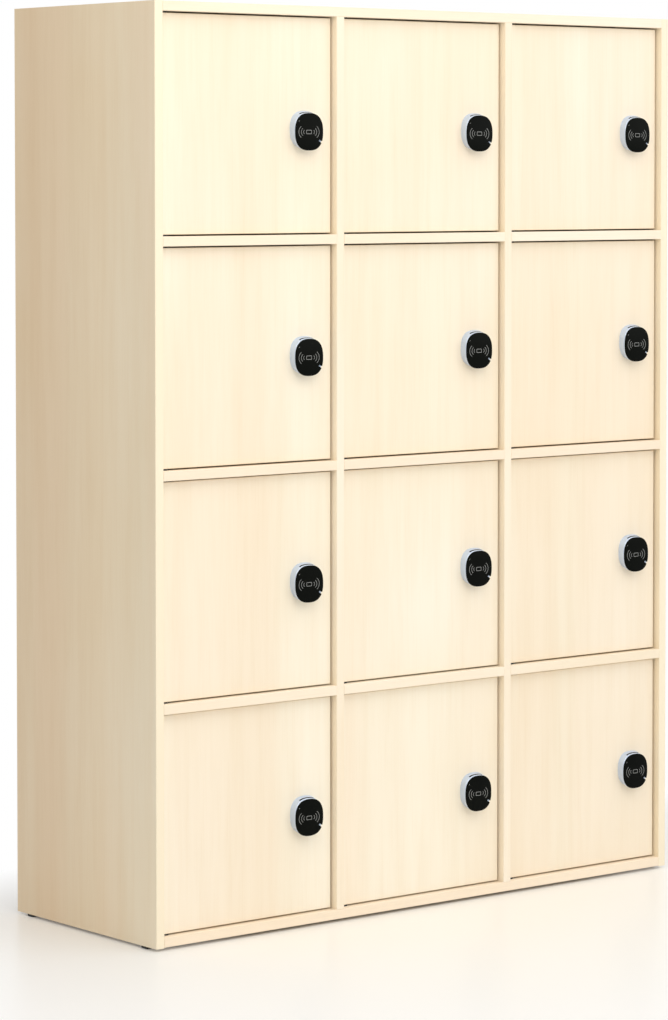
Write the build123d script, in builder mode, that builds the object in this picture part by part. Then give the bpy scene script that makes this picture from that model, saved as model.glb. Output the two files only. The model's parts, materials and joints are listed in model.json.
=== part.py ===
from build123d import *
import os

# Carcass boards
board = 18.0
back_board = 8.0
back_rebate = 9.0
edge_ease = 0.8

# Compartments, counted from the top left one
columns = 3
rows = 4
compartment_width = 400.0
compartment_height = 403.5
carcass_depth = 445.0
bottom_lift = 1.0

# Glides under the uprights
glide_height = 5.0
glide_width = 16.0
glide_setback = 40.0
glide_bevel = 1.5

# Doors, set back from the front edges of the boards
door_thickness = 18.0
door_recess = 14.0
gap_pivot_side = 3.0
gap_lock_side = 4.0
gap_above = 3.0
gap_below = 3.0

# Pin pivots above and below each door, turning in blocks let into the boards
pivot_from_edge = 9.0
pivot_from_front = 6.0
pin_diameter = 6.0
pin_in_bearing = 8.0
pin_clearance = 0.05
bearing_width = 14.0
bearing_depth = 10.0
bearing_seat = 12.0
bearing_clearance = 0.2
bracket_thickness = 2.0
bracket_length = 26.0
bracket_leg = 32.0
bracket_inset = 2.5
bracket_front_wall = 1.5

# Card locks on the door fronts
lock_from_side = 67.0
lock_drops = [12.0, 7.0, 6.0, 20.0]
face_width = 65.0
face_height = 69.0
face_side_bulge = 7.0
face_corner_radius = 17.0
housing_depth = 14.0
housing_flare = 2.0
housing_crown = 4.5
cover_thickness = 3.0
cover_rim = 1.2
notch_width = 4.5
notch_depth = 7.0
notch_angle = -33.0
neck_width = 18.0
neck_clearance = 0.2

# Lock cases on the door backs
case_left_reach = 30.0
case_height = 52.0
case_depth = 22.0
case_bevel = 4.0
case_to_keeper = 4.0

# Deadbolts and the keepers they pass behind
bolt_thickness = 6.0
bolt_height = 16.0
bolt_guided = 23.0
bolt_from_door = 9.0
bolt_show = 1.0
bolt_to_plate = 1.5
bolt_bevel = 1.5
bolt_clearance = 0.3
bolt_well = 3.0
keeper_thickness = 2.5
keeper_lip = 10.0
keeper_height = 44.0
keeper_depth = 28.0
keeper_to_door = 3.5

# Overall sizes that follow from the values above
column_pitch = compartment_width + board
row_pitch = compartment_height + board
carcass_width = columns * column_pitch + board
side_height = bottom_lift + rows * row_pitch + board
lock_depth = housing_depth + cover_thickness
lock_proud = lock_depth - door_recess
bolt_travel = keeper_lip + case_to_keeper - bolt_show - keeper_thickness - bolt_to_plate
bolt_length = bolt_guided + bolt_travel

# Main planes, with the origin under the middle of the whole cabinet
left_x = -carcass_width / 2
front_y = (lock_proud - carcass_depth) / 2
rear_y = front_y + carcass_depth
inner_rear_y = rear_y - back_board
door_front_y = front_y + door_recess
door_back_y = door_front_y + door_thickness
pivot_y = door_front_y + pivot_from_front
side_bottom_z = glide_height
bottom_z = side_bottom_z + bottom_lift
top_z = side_bottom_z + side_height
row_numbers = range(1, rows + 1)
column_numbers = range(1, columns + 1)


def opening_left(column):
    return left_x + board + (column - 1) * column_pitch


def opening_right(column):
    return opening_left(column) + compartment_width


def opening_floor(row):
    return bottom_z + board + (rows - row) * row_pitch


def opening_ceiling(row):
    return opening_floor(row) + compartment_height


def lock_centre(row, column):
    middle = (opening_floor(row) + opening_ceiling(row)) / 2
    return opening_right(column) - lock_from_side, middle - lock_drops[row - 1]


def pivot_x(column):
    return opening_left(column) + gap_pivot_side + pivot_from_edge


def save(piece, name):
    piece.label = name
    export_step(piece, f"parts/{name}.step")


# Side panel seen from above, with a rebate for the back along its inner face
def build_side(name, x, inward):
    rebate_x = x + board / 2 + inward * (board - back_rebate) / 2
    with BuildPart() as side:
        with BuildSketch(Plane.XY.offset(side_bottom_z)):
            with Locations((x + board / 2, (front_y + rear_y) / 2)):
                Rectangle(board, carcass_depth)
            with Locations((rebate_x, rear_y - back_board / 2)):
                Rectangle(back_rebate, back_board, mode=Mode.SUBTRACT)
        extrude(amount=side_height)
        chamfer(side.faces().sort_by(Axis.Y)[0].edges().filter_by(Axis.Z), edge_ease)
    save(side.part, name)


# Top or bottom panel between the sides, with its rebate and its bearing seats
def build_end_panel(name, z, inward):
    inner_z = z + board / 2 + inward * board / 2
    rebate_z = inner_z - inward * back_rebate / 2
    with BuildPart() as panel:
        with BuildSketch(Plane.YZ.offset(left_x + board)):
            with Locations(((front_y + rear_y) / 2, z + board / 2)):
                Rectangle(carcass_depth, board)
            with Locations((rear_y - back_board / 2, rebate_z)):
                Rectangle(back_board, back_rebate, mode=Mode.SUBTRACT)
        extrude(amount=carcass_width - 2 * board)
        chamfer(panel.faces().sort_by(Axis.Y)[0].edges().filter_by(Axis.X), edge_ease)
        with BuildSketch(Plane.XY.offset(inner_z)):
            with Locations([(pivot_x(column), pivot_y) for column in column_numbers]):
                Rectangle(bearing_width, bearing_depth)
        extrude(amount=-inward * bearing_seat, mode=Mode.SUBTRACT)
    save(panel.part, name)


def build_partition(name, x):
    with BuildPart() as partition:
        with BuildSketch(Plane.XY.offset(bottom_z + board)):
            with Locations((x + board / 2, (front_y + inner_rear_y) / 2)):
                Rectangle(board, inner_rear_y - front_y)
        extrude(amount=opening_ceiling(1) - opening_floor(rows))
        chamfer(partition.faces().sort_by(Axis.Y)[0].edges().filter_by(Axis.Z), edge_ease)
    save(partition.part, name)


# Shelf under the compartment of that row, with an opening for its bearing
def build_shelf(row, column):
    shelf_top = opening_floor(row)
    shelf_middle = (opening_left(column) + compartment_width / 2, (front_y + inner_rear_y) / 2)
    with BuildPart() as shelf:
        with BuildSketch(Plane.XY.offset(shelf_top - board)):
            with Locations(shelf_middle):
                Rectangle(compartment_width, inner_rear_y - front_y)
            with Locations((pivot_x(column), pivot_y)):
                Rectangle(bearing_width, bearing_depth, mode=Mode.SUBTRACT)
        extrude(amount=board)
        chamfer(shelf.faces().sort_by(Axis.Y)[0].edges().filter_by(Axis.X), edge_ease)
    save(shelf.part, f"shelf_r{row}c{column}")


def build_back():
    back_width = carcass_width - 2 * board + 2 * back_rebate
    back_height = opening_ceiling(1) - opening_floor(rows) + 2 * back_rebate
    back_middle = (opening_floor(rows) + opening_ceiling(1)) / 2
    with BuildPart() as back_panel:
        with BuildSketch(Plane.XZ.offset(-rear_y)):
            with Locations((0, back_middle)):
                Rectangle(back_width, back_height)
        extrude(amount=back_board)
    save(back_panel.part, "back_panel")


# Lower and upper end of each bearing of a column, from the floor up
def bearing_spans():
    above_floor = gap_below - bearing_clearance
    below_ceiling = gap_above - bearing_clearance
    spans = [(opening_floor(rows) - bearing_seat, opening_floor(rows) + above_floor)]
    for row in row_numbers[:-1]:
        shelf_top = opening_floor(row)
        spans.append((shelf_top - board - below_ceiling, shelf_top + above_floor))
    spans.append((opening_ceiling(1) - below_ceiling, opening_ceiling(1) + bearing_seat))
    return spans


# Moulded blocks that stand proud of the boards, each with a square well whose
# four flats guide the round pins from above and below
def build_bearings():
    well = pin_diameter + 2 * pin_clearance
    with BuildPart() as bearings:
        for column in column_numbers:
            for lower_end, upper_end in bearing_spans():
                with BuildSketch(Plane.XY.offset(lower_end)):
                    with Locations((pivot_x(column), pivot_y)):
                        Rectangle(bearing_width, bearing_depth)
                        Rectangle(well, well, mode=Mode.SUBTRACT)
                extrude(amount=upper_end - lower_end)
    save(bearings.part, "pivot_bearings")


# Angle plates on the right-hand wall of each compartment
def build_keepers():
    lip_y = door_back_y + keeper_to_door
    with BuildPart() as keepers:
        for row in row_numbers:
            for column in column_numbers:
                wall_x = opening_right(column)
                middle_z = lock_centre(row, column)[1]
                with BuildSketch(Plane.XY.offset(middle_z - keeper_height / 2)):
                    with BuildLine():
                        Polyline(
                            (wall_x, lip_y),
                            (wall_x - keeper_lip, lip_y),
                            (wall_x - keeper_lip, lip_y + keeper_thickness),
                            (wall_x - keeper_thickness, lip_y + keeper_thickness),
                            (wall_x - keeper_thickness, lip_y + keeper_depth),
                            (wall_x, lip_y + keeper_depth),
                            close=True,
                        )
                    make_face()
                extrude(amount=keeper_height)
    save(keepers.part, "bolt_keepers")


def build_glides():
    upright_x = [left_x + board / 2 + number * column_pitch for number in range(columns + 1)]
    glide_y = [front_y + glide_setback, rear_y - glide_setback]
    with BuildPart() as glides:
        for number, x in enumerate(upright_x):
            outer = number in (0, columns)
            height = glide_height if outer else glide_height + bottom_lift
            with BuildSketch():
                with Locations([(x, y) for y in glide_y]):
                    Rectangle(glide_width, glide_width)
            extrude(amount=height)
        chamfer(glides.faces().group_by(Axis.Z)[0].edges(), glide_bevel)
    save(glides.part, "floor_glides")


# Door leaf with its lock hole and the seats of its two brackets
def build_door(row, column):
    door_left = opening_left(column) + gap_pivot_side
    door_right = opening_right(column) - gap_lock_side
    door_bottom = opening_floor(row) + gap_below
    door_top = opening_ceiling(row) - gap_above
    door_middle = ((door_left + door_right) / 2, (door_bottom + door_top) / 2)
    neck_hole = neck_width + 2 * neck_clearance
    with BuildPart() as door:
        with BuildSketch(Plane.XZ.offset(-door_front_y)):
            with Locations(door_middle):
                Rectangle(door_right - door_left, door_top - door_bottom)
        extrude(amount=-door_thickness)
        chamfer(door.faces().sort_by(Axis.Y)[0].edges(), edge_ease)
        with BuildSketch(Plane.XZ.offset(-door_front_y)):
            with Locations(lock_centre(row, column)):
                Rectangle(neck_hole, neck_hole)
        extrude(amount=-door_thickness, mode=Mode.SUBTRACT)
        for edge_z, inward in ((door_bottom, 1), (door_top, -1)):
            with BuildSketch(Plane.YZ.offset(door_left + bracket_inset)):
                add(bracket_profile(edge_z, inward))
            extrude(amount=bracket_length, mode=Mode.SUBTRACT)
    save(door.part, f"door_r{row}c{column}")


# Angle seen from the side: one leg on the door's edge, the other on its back
def bracket_profile(edge_z, inward):
    with BuildSketch() as profile:
        with BuildLine():
            Polyline(
                (door_front_y + bracket_front_wall, edge_z),
                (door_back_y, edge_z),
                (door_back_y, edge_z + inward * bracket_leg),
                (door_back_y - bracket_thickness, edge_z + inward * bracket_leg),
                (door_back_y - bracket_thickness, edge_z + inward * bracket_thickness),
                (door_front_y + bracket_front_wall, edge_z + inward * bracket_thickness),
                close=True,
            )
        make_face()
    return profile.sketch


def pivot_bracket(row, column, at_top):
    inward = -1 if at_top else 1
    edge_z = opening_ceiling(row) - gap_above if at_top else opening_floor(row) + gap_below
    gap = gap_above if at_top else gap_below
    bracket_left = opening_left(column) + gap_pivot_side + bracket_inset
    with BuildPart() as bracket:
        with BuildSketch(Plane.YZ.offset(bracket_left)):
            add(bracket_profile(edge_z, inward))
        extrude(amount=bracket_length)
        with BuildSketch(Plane.XY.offset(edge_z)):
            with Locations((pivot_x(column), pivot_y)):
                Circle(pin_diameter / 2)
        extrude(amount=-inward * (gap + pin_in_bearing))
    return bracket.part


# Outline of the lock face: four bowed sides with rounded corners
def oval(width, height):
    half_width = width / 2
    half_height = height / 2
    corner_x = half_width - face_side_bulge
    corner_z = half_height - face_side_bulge
    with BuildSketch() as outline:
        with BuildLine():
            ThreePointArc((-corner_x, -corner_z), (0, -half_height), (corner_x, -corner_z))
            ThreePointArc((corner_x, -corner_z), (half_width, 0), (corner_x, corner_z))
            ThreePointArc((corner_x, corner_z), (0, half_height), (-corner_x, corner_z))
            ThreePointArc((-corner_x, corner_z), (-half_width, 0), (-corner_x, -corner_z))
        make_face()
        fillet(outline.vertices(), face_corner_radius)
    return outline.sketch


# Housing that widens towards the door, most of all at its crown
def lock_housing(row, column):
    x, z = lock_centre(row, column)
    foot_width = face_width + 2 * housing_flare
    foot_height = face_height + housing_crown
    with BuildPart() as housing:
        with BuildSketch(Plane.XZ.offset(-door_front_y)):
            with Locations((x, z + housing_crown / 2)):
                add(oval(foot_width, foot_height))
        with BuildSketch(Plane.XZ.offset(housing_depth - door_front_y)):
            with Locations((x, z)):
                add(oval(face_width, face_height))
        loft(ruled=True)
        with BuildSketch(Plane.XZ.offset(-door_front_y)):
            with Locations((x, z)):
                Rectangle(neck_width, neck_width)
        extrude(amount=-door_thickness)
    return housing.part


# Black reader face, drawn in towards its front, with the small notch low on the right
def lock_cover(row, column):
    with BuildPart() as cover:
        with BuildSketch(Plane.XZ.offset(housing_depth - door_front_y)):
            with Locations(lock_centre(row, column)):
                add(oval(face_width, face_height))
        with BuildSketch(Plane.XZ.offset(lock_depth - door_front_y)):
            with Locations(lock_centre(row, column)):
                add(oval(face_width - 2 * cover_rim, face_height - 2 * cover_rim))
        loft(ruled=True)
        with BuildSketch(Plane.XZ.offset(housing_depth - door_front_y)):
            with Locations(lock_centre(row, column)):
                with PolarLocations(face_height / 2, 1, start_angle=notch_angle):
                    Rectangle(2 * notch_depth, notch_width)
        extrude(amount=cover_thickness, mode=Mode.SUBTRACT)
    return cover.part


def lock_case(row, column):
    x, z = lock_centre(row, column)
    case_left = x - case_left_reach
    case_right = opening_right(column) - keeper_lip - case_to_keeper
    well = bolt_length - bolt_show + bolt_well
    bolt_y = door_back_y + bolt_from_door + bolt_thickness / 2
    with BuildPart() as case:
        with BuildSketch(Plane.XZ.offset(-door_back_y)):
            with Locations(((case_left + case_right) / 2, z)):
                Rectangle(case_right - case_left, case_height)
        extrude(amount=-case_depth)
        chamfer(case.faces().sort_by(Axis.Y)[-1].edges(), case_bevel)
        with BuildSketch(Plane.YZ.offset(case_right)):
            with Locations((bolt_y, z)):
                Rectangle(bolt_thickness + 2 * bolt_clearance, bolt_height + 2 * bolt_clearance)
        extrude(amount=-well, mode=Mode.SUBTRACT)
    return case.part


def build_fittings(row, column):
    pieces = {
        "lock_housing": lock_housing(row, column),
        "lock_cover": lock_cover(row, column),
        "lock_case": lock_case(row, column),
        "upper_pivot": pivot_bracket(row, column, True),
        "lower_pivot": pivot_bracket(row, column, False),
    }
    for name, piece in pieces.items():
        piece.label = name
    save(Compound(children=list(pieces.values())), f"door_fittings_r{row}c{column}")


# Deadbolt drawn back, with a bevelled nose
def build_bolt(row, column):
    z = lock_centre(row, column)[1]
    tip = opening_right(column) - keeper_lip - case_to_keeper + bolt_show
    bolt_y = door_back_y + bolt_from_door + bolt_thickness / 2
    with BuildPart() as bolt:
        with BuildSketch(Plane.YZ.offset(tip - bolt_length)):
            with Locations((bolt_y, z)):
                Rectangle(bolt_thickness, bolt_height)
        extrude(amount=bolt_length)
        chamfer(bolt.faces().sort_by(Axis.X)[-1].edges(), bolt_bevel)
    save(bolt.part, f"lock_bolt_r{row}c{column}")


os.makedirs("parts", exist_ok=True)

build_side("left_side", left_x, 1)
build_side("right_side", left_x + carcass_width - board, -1)
build_end_panel("top_panel", top_z - board, -1)
build_end_panel("bottom_panel", bottom_z, 1)
build_partition("left_partition", opening_right(1))
build_partition("right_partition", opening_right(2))
for row in row_numbers[:-1]:
    for column in column_numbers:
        build_shelf(row, column)
build_back()
build_bearings()
build_keepers()
build_glides()
for row in row_numbers:
    for column in column_numbers:
        build_door(row, column)
        build_fittings(row, column)
        build_bolt(row, column)
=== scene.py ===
import json
import math

import bmesh
import bpy
from mathutils import Matrix, Vector

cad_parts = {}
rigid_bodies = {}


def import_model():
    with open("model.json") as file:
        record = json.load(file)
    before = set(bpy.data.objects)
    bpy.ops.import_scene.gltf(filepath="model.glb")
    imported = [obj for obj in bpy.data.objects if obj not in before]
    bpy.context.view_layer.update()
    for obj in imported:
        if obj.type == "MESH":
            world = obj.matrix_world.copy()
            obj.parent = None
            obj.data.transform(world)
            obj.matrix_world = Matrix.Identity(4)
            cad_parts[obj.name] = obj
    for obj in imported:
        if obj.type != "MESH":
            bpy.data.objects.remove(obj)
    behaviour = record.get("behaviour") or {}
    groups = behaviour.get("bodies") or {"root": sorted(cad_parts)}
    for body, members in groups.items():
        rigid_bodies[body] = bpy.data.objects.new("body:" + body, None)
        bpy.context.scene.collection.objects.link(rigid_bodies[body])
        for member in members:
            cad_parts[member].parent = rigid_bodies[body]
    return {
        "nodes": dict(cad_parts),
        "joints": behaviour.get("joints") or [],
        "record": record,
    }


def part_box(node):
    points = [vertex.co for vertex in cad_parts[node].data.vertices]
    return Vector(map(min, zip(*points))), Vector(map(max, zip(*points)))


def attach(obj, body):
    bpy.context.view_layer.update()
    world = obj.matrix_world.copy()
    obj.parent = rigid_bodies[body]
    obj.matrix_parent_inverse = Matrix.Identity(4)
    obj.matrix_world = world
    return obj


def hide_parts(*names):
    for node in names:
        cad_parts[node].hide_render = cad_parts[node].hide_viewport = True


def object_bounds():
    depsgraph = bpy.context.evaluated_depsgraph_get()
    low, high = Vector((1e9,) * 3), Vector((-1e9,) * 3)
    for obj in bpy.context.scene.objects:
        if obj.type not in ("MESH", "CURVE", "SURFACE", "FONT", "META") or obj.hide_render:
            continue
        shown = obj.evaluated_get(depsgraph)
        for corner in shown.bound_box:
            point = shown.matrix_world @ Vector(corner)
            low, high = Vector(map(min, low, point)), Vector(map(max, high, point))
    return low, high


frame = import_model()
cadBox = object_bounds()
nodes = frame["nodes"]
record = frame["record"]
print("frame loaded:", len(nodes), "nodes")

mm = 0.001
slack = 0.1 * mm  # how near to a plane a face or edge counts as lying in it
faceOn = 0.9      # how far along an axis the normal of a face that looks that way reaches
overcut = 2.0     # millimetres by which a cutter stands out of what it cuts
rowNumbers = (1, 2, 3, 4)
columnNumbers = (1, 2, 3)
doorKeys = [f"r{row}c{column}" for row in rowNumbers for column in columnNumbers]


# A shader socket used as a plain number: an expression on it adds its Math nodes
class Wire:
    def __init__(self, tree, socket):
        self.tree = tree
        self.socket = socket

    def math(self, operation, *values, clamp=False):
        node = self.tree.nodes.new("ShaderNodeMath")
        node.operation = operation
        node.use_clamp = clamp
        for value, socket in zip(values, node.inputs):
            if isinstance(value, Wire):
                self.tree.links.new(value.socket, socket)
            else:
                socket.default_value = value
        return Wire(self.tree, node.outputs[0])

    def __add__(self, other):
        return self.math("ADD", self, other)

    def __sub__(self, other):
        return self.math("SUBTRACT", self, other)

    def __rsub__(self, other):
        return self.math("SUBTRACT", other, self)

    def __mul__(self, other):
        return self.math("MULTIPLY", self, other)

    def __truediv__(self, other):
        return self.math("DIVIDE", self, other)

    def __rtruediv__(self, other):
        return self.math("DIVIDE", other, self)

    __radd__ = __add__
    __rmul__ = __mul__

    def larger(self, other):
        return self.math("MAXIMUM", self, other)

    def clamped(self):
        return self.math("ADD", self, 0.0, clamp=True)

    def above(self, edge, softness):
        return ((self - edge) / softness + 0.5).clamped()


# One shader tree under construction, for a material or for the world
class Finish:
    def __init__(self, owner, ending="ShaderNodeOutputMaterial"):
        self.owner = owner
        self.ending = ending
        owner.use_nodes = True
        self.tree = owner.node_tree
        self.tree.nodes.clear()

    # Sockets go by name, with _ for a space, or by i and their number
    def node(self, kind, settings=None, out=0, **values):
        node = self.tree.nodes.new(kind)
        for key, value in (settings or {}).items():
            if key == "stops":
                self.setStops(node.color_ramp, value)
            else:
                setattr(node, key, value)
        for key, value in values.items():
            socket = self.find(node.inputs, key.replace("_", " "))
            if isinstance(value, Wire):
                self.tree.links.new(value.socket, socket)
            else:
                socket.default_value = value
        return Wire(self.tree, node.outputs[out]) if node.outputs else None

    def find(self, sockets, name):
        named = [socket for socket in sockets if socket.name == name and socket.enabled]
        return named[0] if named else sockets[int(name[1:])]

    def setStops(self, ramp, stops):
        while len(ramp.elements) < len(stops):
            ramp.elements.new(0.5)
        for element, (place, color) in zip(ramp.elements, stops):
            element.position = place
            element.color = (*color, 1)

    def place(self, scale=(1, 1, 1), offset=(0, 0, 0)):
        coordinates = self.node("ShaderNodeTexCoord", out="Object")
        return self.node("ShaderNodeMapping", Vector=coordinates, Scale=scale, Location=offset)

    def noise(self, scale=(1, 1, 1), size=1.0, detail=2.0, rough=0.5, offset=(0, 0, 0)):
        vector = self.place(scale, offset)
        return self.node(
            "ShaderNodeTexNoise", Vector=vector, Scale=size, Detail=detail, Roughness=rough
        )

    def mix(self, factor, first, second, blend="MIX"):
        settings = {"data_type": "RGBA", "blend_type": blend}
        first, second = (
            color if isinstance(color, Wire) else (*color, 1) for color in (first, second)
        )
        return self.node("ShaderNodeMix", settings, out=2, i0=factor, i6=first, i7=second)

    def bump(self, height, strength, distance):
        return self.node("ShaderNodeBump", Height=height, Strength=strength, Distance=distance)

    def principled(self, color, roughness, **others):
        return self.node(
            "ShaderNodeBsdfPrincipled", Base_Color=color, Roughness=roughness, **others
        )

    # 1 for the camera, and for what it sees in or through a glossy piece
    def seen(self):
        camera, glossy, through = (
            self.node("ShaderNodeLightPath", out=f"Is {ray} Ray")
            for ray in ("Camera", "Glossy", "Transmission")
        )
        return camera.larger(glossy).larger(through)

    def show(self, shader):
        self.node(self.ending, Surface=shader)
        return self.owner


def linear(red, green, blue):
    def channel(value):
        value /= 255
        return value / 12.92 if value <= 0.04045 else ((value + 0.055) / 1.055) ** 2.4
    return tuple(channel(value) for value in (red, green, blue))


# Maple foil: long vertical figure, fine pores and slow cloudy colour
maple = {
    "pale": linear(252, 245, 229),
    "warm": linear(243, 227, 196),
    "figure": linear(231, 209, 173),
    "leaf": linear(248, 227, 203),
    "band": linear(250, 238, 213),
    "noises": {  # stretch, size, detail and roughness
        "cloud": ((1.0, 1.0, 1.0), 1.6, 2.0, 0.5),
        "figure": ((9.0, 9.0, 0.55), 1.0, 5.0, 0.6),
        "fine": ((40.5, 40.5, 2.475), 1.0, 4.0, 0.65),
        "pores": ((420.0, 420.0, 9.0), 1.0, 1.0, 0.4),
        "leaf": ((7.0, 7.0, 0.22), 1.0, 1.0, 0.3),
    },
    "edges": {  # the level at which each noise shows, and how softly
        "cloud": (0.5, 0.5),
        "figure": (0.52, 0.24),
        "fine": (0.54, 0.22),
        "pores": (0.62, 0.12),
        "leaf": (0.5, 0.12),
    },
    "figureWeight": 0.6,
    "fineWeight": 0.4,
    "leafShare": 0.32,
    "poreShare": 0.06,
    "seedSpread": (1.0, 0.7, 1.3),
    "sidePaintedShade": (  # painted shade: the side darkens from front to back
        (0.1, (1, 1, 1)),
        (0.4, (0.99, 0.945, 0.895)),
        (0.65, (0.96, 0.905, 0.85)),
        (0.92, (0.93, 0.86, 0.79)),
    ),
    "paintedShadeWander": 0.1,
    "bandThickness": 1.2,
    "bandSoftness": 0.2,
    "bandFigure": 0.25,
    "roughness": 0.46,
    "figureRoughness": 0.07,
    "poreRoughness": 0.05,
    "bumpStrength": 0.06,
    "bumpDistance": 0.4,
    "gloss": 0.4,
}
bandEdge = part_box("left_side")[0].y + maple["bandThickness"] * mm


def mapleFinish(
    name, tint=(1, 1, 1), along="z", figureShare=0.3, warmth=0.5, seed=0.0, bandedWithPaintedShade=False
):
    made = Finish(bpy.data.materials.new(name))
    pale, warm, dark, rosy = (
        tuple(a * b for a, b in zip(tint, maple[shade]))
        for shade in ("pale", "warm", "figure", "leaf")
    )
    turn = {"z": (0, 1, 2), "x": (2, 1, 0)}[along]
    offset = tuple(seed * share for share in maple["seedSpread"])
    noise = {
        layer: made.noise([stretch[axis] for axis in turn], size, detail, rough, offset)
        for layer, (stretch, size, detail, rough) in maple["noises"].items()
    }
    shown = {layer: noise[layer].above(*edge) for layer, edge in maple["edges"].items()}
    streaks = shown["figure"] * maple["figureWeight"] + shown["fine"] * maple["fineWeight"]
    grain = streaks * figureShare + shown["pores"] * maple["poreShare"]
    color = made.mix((shown["cloud"] * warmth).clamped(), pale, warm)
    color = made.mix(shown["leaf"] * maple["leafShare"], color, rosy)
    color = made.mix(grain.clamped(), color, dark)
    # The side's painted shade, darker towards the back, and its real edge band along the front
    if bandedWithPaintedShade:
        y = made.node("ShaderNodeSeparateXYZ", out="Y", Vector=made.place())
        wander = (noise["fine"] - 0.5) * maple["paintedShadeWander"]
        across = (y - cadBox[0].y) / (cadBox[1].y - cadBox[0].y) + wander
        paintedSideShade = made.node("ShaderNodeValToRGB", {"stops": maple["sidePaintedShade"]}, Fac=across)
        color = made.mix(1.0, color, paintedSideShade, "MULTIPLY")
        bandGrain = (noise["fine"] * maple["bandFigure"]).clamped()
        band = made.mix(bandGrain, maple["band"], maple["warm"])
        color = made.mix(y.above(bandEdge, maple["bandSoftness"] * mm), band, color)
    roughness = (
        maple["roughness"]
        + streaks * maple["figureRoughness"]
        + noise["pores"] * maple["poreRoughness"]
    )
    relief = (noise["pores"] + noise["fine"]) * 0.5
    normal = made.bump(relief, maple["bumpStrength"], maple["bumpDistance"] * mm)
    return made.show(
        made.principled(color, roughness, Normal=normal, Specular_IOR_Level=maple["gloss"])
    )


# Plastic with a fine moulded grain
plastic = {
    "speckleSize": 900.0,
    "speckleShare": 0.2,
    "cloudSize": 30.0,
    "cloudShare": 0.5,
    "darkest": 0.82,
    "roughnessSpread": 0.1,
    "grainDepth": 0.2,
}


def plasticFinish(name, color, roughness, grain=0.05, **constants):
    made = Finish(bpy.data.materials.new(name))
    speckle = made.noise(size=plastic["speckleSize"])
    cloud = made.noise(size=plastic["cloudSize"])
    darker = tuple(value * plastic["darkest"] for value in color)
    spots = (cloud * plastic["cloudShare"] + speckle * plastic["speckleShare"]).clamped()
    return made.show(made.principled(
        made.mix(spots, color, darker),
        roughness + (speckle - 0.5) * plastic["roughnessSpread"],
        Normal=made.bump(speckle, grain, plastic["grainDepth"] * mm),
        **constants,
    ))


# Plated steel, brushed along one way
zinc = {
    "light": linear(198, 201, 205),
    "dark": linear(168, 172, 178),
    "brushStretch": (900, 900, 60),
    "brushDepth": 0.1,
    "brushStrength": 0.08,
    "cloudSize": 45.0,
    "cloudDetail": 3.0,
    "cloudShare": 0.7,
    "roughness": 0.22,
    "roughnessSpread": 0.2,
}


def zincFinish(name):
    made = Finish(bpy.data.materials.new(name))
    brushed = made.noise(zinc["brushStretch"])
    cloud = made.noise(size=zinc["cloudSize"], detail=zinc["cloudDetail"])
    shade = made.mix((cloud * zinc["cloudShare"]).clamped(), zinc["light"], zinc["dark"])
    roughness = brushed * zinc["roughnessSpread"] + zinc["roughness"]
    normal = made.bump(brushed, zinc["brushStrength"], zinc["brushDepth"] * mm)
    return made.show(made.principled(shade, roughness, Normal=normal, Metallic=1.0))


finishes = {
    # The sides' maple is tinted warmer and a little darker than the doors' maple as painted shade
    "maple_side": mapleFinish(
        "mapleSideWithPaintedShade", tint=(1, 0.97, 0.92), warmth=0.6, seed=1.0, bandedWithPaintedShade=True
    ),
    "maple_door": mapleFinish("mapleDoor", warmth=0.55, seed=5.0),
    "upright": mapleFinish("mapleUpright", tint=(1, 0.97, 0.95), figureShare=0.15, seed=9.0),
    "crosswise": mapleFinish(
        "mapleCrosswise", tint=(1, 0.97, 0.95), along="x", figureShare=0.15, seed=13.0
    ),
    "maple_back": mapleFinish("mapleBack", tint=(0.88, 0.86, 0.83), warmth=0.7, seed=17.0),
    "lock_cover": plasticFinish(
        "glossBlack", linear(12, 14, 11), 0.2, grain=0.01, Specular_IOR_Level=0.035
    ),
    "lock_housing": plasticFinish("silverPaint", linear(208, 222, 243), 0.36, Metallic=0.5),
    "lock_mark": plasticFinish("printedGrey", linear(150, 152, 150), 0.5),
    # Near-black painted shade for the sunk slot in the lock housing
    "lock_dark": plasticFinish("slotPaintedShade", linear(16, 16, 16), 0.7),
    "lock_case": plasticFinish("caseBlack", linear(34, 35, 36), 0.5, grain=0.12),
    "zinc_plate": zincFinish("zincPlate"),
    "black_nylon": plasticFinish("blackNylon", linear(36, 36, 37), 0.6),
    "black_glide": plasticFinish("glideBlack", linear(30, 30, 30), 0.65),
}
print("finishes made:", len(finishes))


def dress(node, finish):
    mesh = nodes[node].data
    mesh.materials.clear()
    mesh.materials.append(finishes[finish])


slots = {row["node"]: row["material_slot"] for row in record["subparts"]}
for name in nodes:
    if name.startswith("shelf") or name in ("top_panel", "bottom_panel"):
        dress(name, "crosswise")
    elif name.endswith("partition"):
        dress(name, "upright")
    elif slots[name] in finishes:
        dress(name, slots[name])
print("nodes dressed")

# Fitted to the photograph's edges, with a slight tilt in place of part of the shift
camera = {
    "place": (-4.456, -5.4426, 1.3961),
    "azimuth": -39.018,
    "tilt": -2.4,
    "lens": 127.72,
    "sensor": 36,
    "shift": -0.1784,
}


def makeCamera():
    data = bpy.data.cameras.new("camera")
    data.lens = camera["lens"]
    data.sensor_width = camera["sensor"]
    data.shift_y = camera["shift"]
    made = bpy.data.objects.new("camera", data)
    bpy.context.scene.collection.objects.link(made)
    made.location = camera["place"]
    made.rotation_euler = (
        math.radians(90 + camera["tilt"]), 0, math.radians(camera["azimuth"])
    )
    bpy.context.scene.camera = made


makeCamera()

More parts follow.
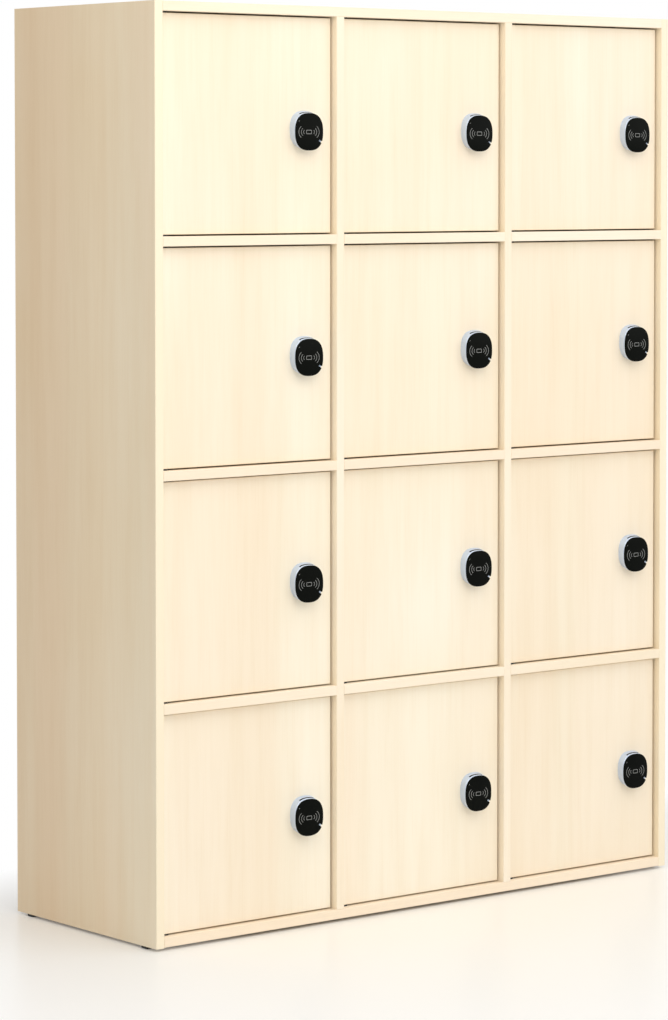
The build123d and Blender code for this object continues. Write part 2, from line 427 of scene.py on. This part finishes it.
studio = {
    "keyPlace": (1.2, -3.4, 4.0),
    "keySize": 8.0,
    "keyPower": 179,
    "keyColor": (1.0, 1.0, 1.0),
    "fillPlace": (-1.6, -1.8, 2.9),
    "fillSize": 2.0,
    "fillPower": 23,
    "fillColor": (1.0, 0.9, 0.74),
    "aim": (0, 0, 0.85),
    "worldLight": 0.5,
    "floorHalf": 60,
    "floorPale": linear(252, 251, 248),
    "floorWarm": linear(247, 245, 240),
    "floorCloud": 2.0,
    "floorShare": 0.3,
    "floorRoughness": 0.3,
    "floorGloss": 0.3,
    "fadeStart": 0.45,
    "fadeWidth": 1.6,
    "backWidth": 0.45,
}


def areaLamp(name, place, size, power, color):
    data = bpy.data.lights.new(name, "AREA")
    data.color = color
    data.shape = "SQUARE"
    data.size = size
    data.energy = power
    lamp = bpy.data.objects.new(name, data)
    bpy.context.scene.collection.objects.link(lamp)
    lamp.location = place
    facing = Vector(studio["aim"]) - Vector(place)
    lamp.rotation_euler = facing.to_track_quat("-Z", "Y").to_euler()


# Even light on the object, against a background that is seen as white
def studioWorld():
    made = Finish(bpy.data.worlds.new("studio"), "ShaderNodeOutputWorld")
    light, white = (
        made.node("ShaderNodeBackground", Color=(1, 1, 1, 1), Strength=strength)
        for strength in (studio["worldLight"], 1.0)
    )
    return made.show(made.node("ShaderNodeMixShader", i0=made.seen(), i1=light, i2=white))


# The floor is seen as white at a distance from the cabinet, and behind it
def floorFinish():
    made = Finish(bpy.data.materials.new("paleFloor"))
    cloud = (made.noise(size=studio["floorCloud"]) * studio["floorShare"]).clamped()
    ground = made.principled(
        made.mix(cloud, studio["floorPale"], studio["floorWarm"]),
        studio["floorRoughness"],
        Specular_IOR_Level=studio["floorGloss"],
    )
    white = made.node("ShaderNodeEmission", Strength=1.0)
    distance = made.node(
        "ShaderNodeVectorMath", {"operation": "LENGTH"}, out="Value", i0=made.place()
    )
    y = made.node("ShaderNodeSeparateXYZ", out="Y", Vector=made.place())
    behind = ((y - cadBox[1].y) / studio["backWidth"]).clamped()
    far = ((distance - studio["fadeStart"]) / studio["fadeWidth"] + behind).clamped()
    return made.show(
        made.node("ShaderNodeMixShader", i0=far * made.seen(), i1=ground, i2=white)
    )


def makeStudio():
    for lamp in ("key", "fill"):
        parts = (studio[lamp + part] for part in ("Place", "Size", "Power", "Color"))
        areaLamp(lamp + "Lamp", *parts)
    bpy.context.scene.world = studioWorld()
    bpy.ops.mesh.primitive_plane_add(size=2 * studio["floorHalf"], location=(0, 0, 0))
    floor = bpy.context.object
    floor.name = "floor"
    floor.data.materials.append(floorFinish())


makeStudio()
print("studio made")


# Modelling steps shared by all pieces
def pickOnly(*pieces):
    bpy.ops.object.select_all(action="DESELECT")
    for piece in pieces:
        piece.select_set(True)
    bpy.context.view_layer.objects.active = pieces[0]


def openMesh(piece, kind="FACE"):
    pickOnly(piece)
    bpy.ops.object.mode_set(mode="EDIT")
    bpy.ops.mesh.select_mode(type=kind)
    bpy.ops.mesh.select_all(action="DESELECT")


def closeMesh():
    bpy.ops.mesh.select_all(action="SELECT")
    bpy.ops.mesh.normals_make_consistent(inside=False)
    bpy.ops.object.mode_set(mode="OBJECT")


def chooseFaces(piece, wanted):
    edited = bmesh.from_edit_mesh(piece.data)
    for face in edited.faces:
        face.select_set(bool(wanted(face.calc_center_median(), face.normal)))
    bmesh.update_edit_mesh(piece.data)


def chooseEdges(piece, wanted):
    edited = bmesh.from_edit_mesh(piece.data)
    for edge in edited.edges:
        first, second = (vertex.co for vertex in edge.verts)
        edge.select_set(bool(wanted((first + second) / 2, second - first)))
    bmesh.update_edit_mesh(piece.data)


def addBox(name, low, high):
    middle = [(a + b) / 2 * mm for a, b in zip(low, high)]
    size = [(b - a) * mm for a, b in zip(low, high)]
    bpy.ops.mesh.primitive_cube_add(size=1, location=middle, scale=size)
    piece = bpy.context.object
    piece.name = name
    bpy.ops.object.transform_apply(location=True, rotation=True, scale=True)
    return piece


# A plate of size 1 facing the front; reach is how far its corners are rounded
def addPlate(name, segments, corner=0.5, reach=0.5, weld=0.002):
    bpy.ops.mesh.primitive_plane_add(size=1, rotation=(math.pi / 2, 0, 0))
    piece = bpy.context.object
    piece.name = name
    bpy.ops.object.transform_apply(location=True, rotation=True, scale=True)
    openMesh(piece, "VERT")
    bpy.ops.mesh.select_all(action="SELECT")
    bpy.ops.mesh.bevel(
        offset=reach, segments=segments, profile=corner, affect="VERTICES", clamp_overlap=True
    )
    bpy.ops.mesh.remove_doubles(threshold=weld)
    bpy.ops.object.mode_set(mode="OBJECT")
    return piece


# Draws a plate's face forwards through rings of (depth, width, height, lift)
def drawRings(piece, rings):
    openMesh(piece)
    bpy.ops.mesh.select_all(action="SELECT")
    depth, width, height, lift = rings[0]
    bpy.ops.transform.resize(value=(width * mm, 1, height * mm), center_override=(0, 0, 0))
    bpy.ops.transform.translate(value=(0, -depth * mm, lift * mm))
    for nextDepth, nextWidth, nextHeight, nextLift in rings[1:]:
        step = (0, (depth - nextDepth) * mm, (nextLift - lift) * mm)
        bpy.ops.mesh.extrude_region_move(TRANSFORM_OT_translate={"value": step})
        bpy.ops.transform.resize(
            value=(nextWidth / width, 1, nextHeight / height),
            center_override=(0, -nextDepth * mm, nextLift * mm),
        )
        depth, width, height, lift = nextDepth, nextWidth, nextHeight, nextLift
    closeMesh()


def cutAway(piece, cutter):
    pickOnly(piece)
    cut = piece.modifiers.new("cut", "BOOLEAN")
    cut.operation = "DIFFERENCE"
    cut.solver = "EXACT"
    cut.object = cutter
    bpy.ops.object.modifier_apply(modifier=cut.name)
    bpy.data.objects.remove(cutter)


def smoothRounds(piece, angle=30):
    pickOnly(piece)
    bpy.ops.object.shade_smooth_by_angle(angle=math.radians(angle))


def softenEdges(piece, width, segments=2, angle=35):
    pickOnly(piece)
    bevel = piece.modifiers.new("soften", "BEVEL")
    bevel.width = width * mm
    bevel.segments = segments
    bevel.limit_method = "ANGLE"
    bevel.angle_limit = math.radians(angle)
    bpy.ops.object.modifier_apply(modifier=bevel.name)
    smoothRounds(piece, angle)


def giveFinishes(piece, *names):
    piece.data.materials.clear()
    for name in names:
        piece.data.materials.append(finishes[name])


def joinPieces(name, pieces):
    pickOnly(*pieces)
    bpy.ops.object.join()
    joined = bpy.context.object
    joined.name = name
    return joined


def twinOf(master):
    made = master.copy()
    made.data = master.data.copy()
    bpy.context.scene.collection.objects.link(made)
    return made


def copyTo(master, name, place, body):
    made = twinOf(master)
    made.name = name
    made.data.name = name
    made.data.transform(Matrix.Translation(place))
    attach(made, body)
    return made


# Cross recess screw, head along -Y, seat at y = 0
screw = {
    "headWidth": 7.0,
    "headHeight": 1.3,
    "headSegments": 5,
    "sunk": 0.4,
    "dome": ((0.5, 1.0), (0.9, 0.8), (1.0, 0.5)),  # shares of the height and of the width
    "crossLength": 4.2,
    "crossWidth": 1.0,
    "crossDepth": 0.9,
}


def makeScrew():
    width, height = screw["headWidth"], screw["headHeight"]
    made = addPlate("screw", screw["headSegments"])
    rings = [(-screw["sunk"], width, width, 0)]
    for rise, share in screw["dome"]:
        rings.append((rise * height, share * width, share * width, 0))
    drawRings(made, rings)
    reach, half = screw["crossLength"] / 2, screw["crossWidth"] / 2
    top, floor = -height - overcut, screw["crossDepth"] - height
    for long, short in ((reach, half), (half, reach)):
        cutAway(made, addBox("cutter", (-long, top, -short), (long, floor, short)))
    giveFinishes(made, "zinc_plate")
    smoothRounds(made)
    return made


# A screw turned so that its head points along facing, at place in millimetres
def screwAt(place, facing):
    made = twinOf(screwMaster)
    turn = Vector((0, -1, 0)).rotation_difference(Vector(facing)).to_matrix().to_4x4()
    made.data.transform(Matrix.Translation([value * mm for value in place]) @ turn)
    return made


# Card lock on the door front, seen from its own centre on the door's face
lock = {
    "width": 65.0,
    "height": 69.0,
    "corner": 0.574,
    "cornerSegments": 14,
    "flare": 2.0,
    "crown": 4.5,
    "housingDepth": 14.0,
    "housingStart": 1.6,
    "housingBend": 1.2,
    "housingEdge": ((0.3, 1.0), (0.0, 2.6)),  # depth below the front, and inset
    "housingSmoothing": 35,
    "slotAngles": (64, 121),
    "slotDepths": (7.2, 11.2),
    "slotSink": 3.0,
    "slotEdge": 0.5,
    "coverDepth": 17.0,
    "coverSunk": 0.2,
    "coverLip": 0.4,
    "coverLipInset": 1.4,
    "coverEdge": ((0.9, 0.0), (0.45, 0.5), (0.15, 1.5), (0.0, 3.0)),
    "notchAngle": -33,
    "notchWidth": 4.0,
    "notchInner": 27.0,
    "notchLength": 20.0,
    "notchFloor": 0.6,
    "centreFromBoltTip": 54.0,
}


def edgeRings(front, edge):
    width, height = lock["width"], lock["height"]
    return [(front - below, width - inset, height - inset, 0) for below, inset in edge]


def makeHousing():
    full, flare, crown = lock["housingDepth"], lock["flare"], lock["crown"]
    rings = [(0.0, lock["width"] + flare, lock["height"], crown)]
    for depth in (lock["housingStart"], *lock["slotDepths"], full - lock["housingBend"]):
        rest = 1 - depth / full
        rings.append((depth, lock["width"] + flare * rest, lock["height"], crown * rest))
    made = addPlate("lockHousing", lock["cornerSegments"], lock["corner"])
    drawRings(made, rings + edgeRings(full, lock["housingEdge"]))
    giveFinishes(made, "lock_housing", "lock_dark")
    shallow, deep = lock["slotDepths"]
    start, end = lock["slotAngles"]

    def inSlot(middle, normal):
        angle = math.degrees(math.atan2(middle.z, middle.x))
        return -deep * mm < middle.y < -shallow * mm and start < angle < end

    # The sunk slot on the housing's top flank gets a near-black finish on its floor and walls, as
    # painted shade
    openMesh(made)
    chooseFaces(made, inSlot)
    bpy.ops.mesh.inset(thickness=lock["slotEdge"] * mm)
    bpy.ops.mesh.extrude_region_shrink_fatten(
        TRANSFORM_OT_shrink_fatten={"value": -lock["slotSink"] * mm}
    )
    bpy.ops.mesh.select_more()
    made.active_material_index = 1  # the slot's painted shade
    bpy.ops.object.material_slot_assign()
    bpy.ops.object.mode_set(mode="OBJECT")
    smoothRounds(made, lock["housingSmoothing"])
    return made


def makeCover():
    width, height, front = lock["width"], lock["height"], lock["coverDepth"]
    base, inset = lock["housingDepth"], lock["coverLipInset"]
    rings = [
        (base - lock["coverSunk"], width - inset, height - inset, 0),
        (base + lock["coverLip"], width, height, 0),
    ]
    made = addPlate("lockCover", lock["cornerSegments"], lock["corner"])
    drawRings(made, rings + edgeRings(front, lock["coverEdge"]))
    inner, half = lock["notchInner"], lock["notchWidth"] / 2
    low = (inner, -front - overcut, -half)
    high = (inner + lock["notchLength"], -base + lock["notchFloor"], half)
    notch = addBox("notch", low, high)
    notch.data.transform(Matrix.Rotation(math.radians(-lock["notchAngle"]), 4, "Y"))
    cutAway(made, notch)
    giveFinishes(made, "lock_cover")
    smoothRounds(made)
    return made


# Reader symbol: waves either side of a blank card, printed on the cover
marks = {
    "waves": ((12.0, 12.0, 58), (10.4, 7.8, 58), (8.9, 4.0, 58)),  # centre, radius, half angle
    "waveSteps": 12,
    "line": 0.8,
    "thickness": 0.1,
    "centre": (-1.5, -0.4),
    "cardWidth": 12.6,
    "cardHeight": 7.4,
    "cardLine": 0.8,
    "cardCorner": 0.12,
    "cardSegments": 4,
    "tickPlace": (-24.6, 19.4),
    "tickLength": 2.6,
    "tickWidth": 0.7,
    "tickAngle": 50,
}


def makeWave(centre, radius, halfAngle, side):
    start = math.radians(-halfAngle if side > 0 else 180 - halfAngle)
    x, y = side * centre, -lock["coverDepth"]
    place = (x + radius * math.cos(start), y, radius * math.sin(start))
    bpy.ops.mesh.primitive_plane_add(
        size=1, location=[value * mm for value in place], rotation=(0, -start, 0)
    )
    made = bpy.context.object
    made.scale = (marks["line"] * mm, marks["thickness"] * mm, 1)
    bpy.ops.object.transform_apply(location=True, rotation=True, scale=True)
    openMesh(made)
    bpy.ops.mesh.select_all(action="SELECT")
    bpy.ops.mesh.spin(
        steps=marks["waveSteps"],
        angle=math.radians(2 * halfAngle),
        center=(x * mm, y * mm, 0),
        axis=(0, 1, 0),
    )
    closeMesh()
    return made


def cardPlate(name, margin, reach):
    front, width, height = lock["coverDepth"], marks["cardWidth"], marks["cardHeight"]
    made = addPlate(name, marks["cardSegments"], reach=marks["cardCorner"])
    drawRings(made, [
        (front + side * reach, width - 2 * margin, height - 2 * margin, 0) for side in (-1, 1)
    ])
    return made


def makeMarks():
    made = [makeWave(*wave, side) for wave in marks["waves"] for side in (-1, 1)]
    front, thick = lock["coverDepth"], marks["thickness"] / 2
    card = cardPlate("card", 0, thick)
    cutAway(card, cardPlate("window", marks["cardLine"], overcut))
    made.append(card)
    across, up = marks["centre"]
    for mark in made:
        mark.data.transform(Matrix.Translation((across * mm, 0, up * mm)))
    x, z = marks["tickPlace"]
    long, short = marks["tickLength"] / 2, marks["tickWidth"] / 2
    tick = addBox("tick", (-long, -front - thick, -short), (long, -front + thick, short))
    turn = Matrix.Rotation(math.radians(-marks["tickAngle"]), 4, "Y")
    tick.data.transform(Matrix.Translation((x * mm, 0, z * mm)) @ turn)
    joined = joinPieces("lockMarks", [*made, tick])
    giveFinishes(joined, "lock_mark")
    return joined


# Case behind the door, seen from the lock's centre on the door's back face
case = {
    "left": -30.0,
    "right": 53.0,
    "halfHeight": 26.0,
    "depth": 22.0,
    "edge": 4.0,
    "edgeSegments": 4,
    "lidRim": 3.0,
    "groove": 0.6,
    "wellLength": 34.0,
    "wellDepth": (8.7, 15.3),
    "wellHalfHeight": 8.3,
    "screwInset": 10.0,
    "screwSunk": 1.2,
}


def makeCase():
    left, right, half, depth = case["left"], case["right"], case["halfHeight"], case["depth"]
    made = addBox("lockCase", (left, 0, -half), (right, depth, half))
    back = depth * mm - slack
    openMesh(made, "EDGE")
    chooseEdges(made, lambda middle, way: middle.y > back)
    bpy.ops.mesh.bevel(
        offset=case["edge"] * mm, segments=case["edgeSegments"], profile=0.5, affect="EDGES"
    )
    bpy.ops.mesh.select_mode(type="FACE")
    chooseFaces(made, lambda middle, normal: middle.y > back and normal.y > faceOn)
    groove = case["groove"] * mm
    for width, rise in ((case["lidRim"] * mm, 0), (groove, -groove), (groove, groove)):
        bpy.ops.mesh.inset(thickness=width, depth=rise)
    closeMesh()
    shallow, deep = case["wellDepth"]
    high = case["wellHalfHeight"]
    low = (right - case["wellLength"], shallow, -high)
    cutAway(made, addBox("well", low, (right + overcut, deep, high)))
    giveFinishes(made, "lock_case")
    smoothRounds(made)
    inset = case["screwInset"]
    screws = [
        screwAt((x, depth - case["screwSunk"], z), (0, 1, 0))
        for x in (left + inset, right - inset)
        for z in (-half + inset, half - inset)
    ]
    return joinPieces("lockCase", [made, *screws])


# Angle bracket and its pin, seen from where the pivot line meets the door's edge
bracket = {
    "left": -6.5,
    "right": 19.5,
    "front": -4.5,
    "back": 12.0,
    "sheet": 2.0,
    "leg": 32.0,
    "corner": 5.0,
    "cornerSegments": 5,
    "edge": 0.25,
    "pin": 6.0,
    "pinSegments": 6,
    "pinLength": 11.0,
    "pinSunk": 0.5,
    "pinTip": 0.8,
    "screws": ((-7.0, 14.0), (7.0, 14.0), (0.0, 25.0)),  # from the middle, and height
    "screwSunk": 0.1,
}


def makePin():
    width, length, tip = bracket["pin"], bracket["pinLength"], bracket["pinTip"]
    made = addPlate("pin", bracket["pinSegments"])
    drawRings(made, [
        (-bracket["pinSunk"], width, width, 0),
        (length - tip, width, width, 0),
        (length, width - 2 * tip, width - 2 * tip, 0),
    ])
    made.data.transform(Matrix.Rotation(math.radians(90), 4, "X"))
    giveFinishes(made, "zinc_plate")
    smoothRounds(made)
    return made


def makeBracket():
    left, right, sheet = bracket["left"], bracket["right"], bracket["sheet"]
    back, leg = bracket["back"], bracket["leg"]
    made = addBox("pivotBracket", (left, bracket["front"], 0), (right, back, sheet))
    inner = (back - sheet) * mm
    openMesh(made)
    bpy.ops.mesh.select_all(action="SELECT")
    bpy.ops.mesh.bisect(plane_co=(0, inner, 0), plane_no=(0, 1, 0))
    chooseFaces(made, lambda middle, normal: normal.z > faceOn and middle.y > inner)
    rise = (0, 0, (leg - sheet) * mm)
    bpy.ops.mesh.extrude_region_move(TRANSFORM_OT_translate={"value": rise})
    bpy.ops.mesh.select_mode(type="EDGE")
    chooseEdges(
        made,
        lambda middle, way: middle.z > leg * mm - slack and abs(way.y) > abs(way.x) + abs(way.z),
    )
    bpy.ops.mesh.bevel(
        offset=bracket["corner"] * mm, segments=bracket["cornerSegments"], affect="EDGES"
    )
    closeMesh()
    softenEdges(made, bracket["edge"])
    giveFinishes(made, "zinc_plate")
    pin = makePin()
    across = (left + right) / 2
    screws = [
        screwAt((across + aside, back - bracket["screwSunk"], height), (0, 1, 0))
        for aside, height in bracket["screws"]
    ]
    return joinPieces("pivotBracket", [made, pin, *screws])


screwMaster = makeScrew()
print("screw made")
housingMaster = makeHousing()
coverMaster = makeCover()
marksMaster = makeMarks()
caseMaster = makeCase()
print("lock made")
lowerMaster = makeBracket()
upperMaster = twinOf(lowerMaster)
upperMaster.data.transform(Matrix.Diagonal((1, 1, -1, 1)))
upperMaster.data.flip_normals()
print("pivot brackets made")

pivots = {joint["child"]: Vector(joint["pos_m"]) for joint in frame["joints"] if "pos_m" in joint}
for key in doorKeys:
    body = f"door_leaf_{key}"
    doorLow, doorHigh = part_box(f"door_{key}")
    boltLow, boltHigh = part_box(f"lock_bolt_{key}")
    lockX = boltHigh.x - lock["centreFromBoltTip"] * mm
    lockZ = (boltLow.z + boltHigh.z) / 2
    frontSpot = Vector((lockX, doorLow.y, lockZ))
    backSpot = Vector((lockX, doorHigh.y, lockZ))
    pivot = pivots[body]
    housing = copyTo(housingMaster, f"lockHousing_{key}", frontSpot, body)
    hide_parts(f"door_fittings_{key}")
    copyTo(coverMaster, f"lockCover_{key}", frontSpot, body)
    copyTo(marksMaster, f"lockMarks_{key}", frontSpot, body)
    copyTo(caseMaster, f"lockCase_{key}", backSpot, body)
    lowerSpot = Vector((pivot.x, pivot.y, doorLow.z))
    upperSpot = Vector((pivot.x, pivot.y, doorHigh.z))
    copyTo(lowerMaster, f"lowerPivot_{key}", lowerSpot, body)
    copyTo(upperMaster, f"upperPivot_{key}", upperSpot, body)
print("locks and pivots placed:", len(doorKeys))

# Two screws hold each keeper to the wall beside its door
keeper = {"wallFromBoltTip": 13.0, "sheet": 2.5, "back": 20.5, "spread": 14.0}


def makeKeeperScrews():
    made = []
    for key in doorKeys:
        boltLow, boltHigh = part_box(f"lock_bolt_{key}")
        plateX = boltHigh.x / mm + keeper["wallFromBoltTip"] - keeper["sheet"]
        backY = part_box(f"door_{key}")[1].y / mm + keeper["back"]
        middle = (boltLow.z + boltHigh.z) / 2 / mm
        for side in (-1, 1):
            made.append(screwAt((plateX, backY, middle + side * keeper["spread"]), (-1, 0, 0)))
    joined = joinPieces("keeperScrews", made)
    giveFinishes(joined, "zinc_plate")
    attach(joined, "carcass")


makeKeeperScrews()
for master in (
    screwMaster, housingMaster, coverMaster, marksMaster, caseMaster, lowerMaster, upperMaster
):
    bpy.data.objects.remove(master)
print("keeper screws made")

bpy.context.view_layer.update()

view = bpy.context.scene.view_settings
view.view_transform = "Standard"
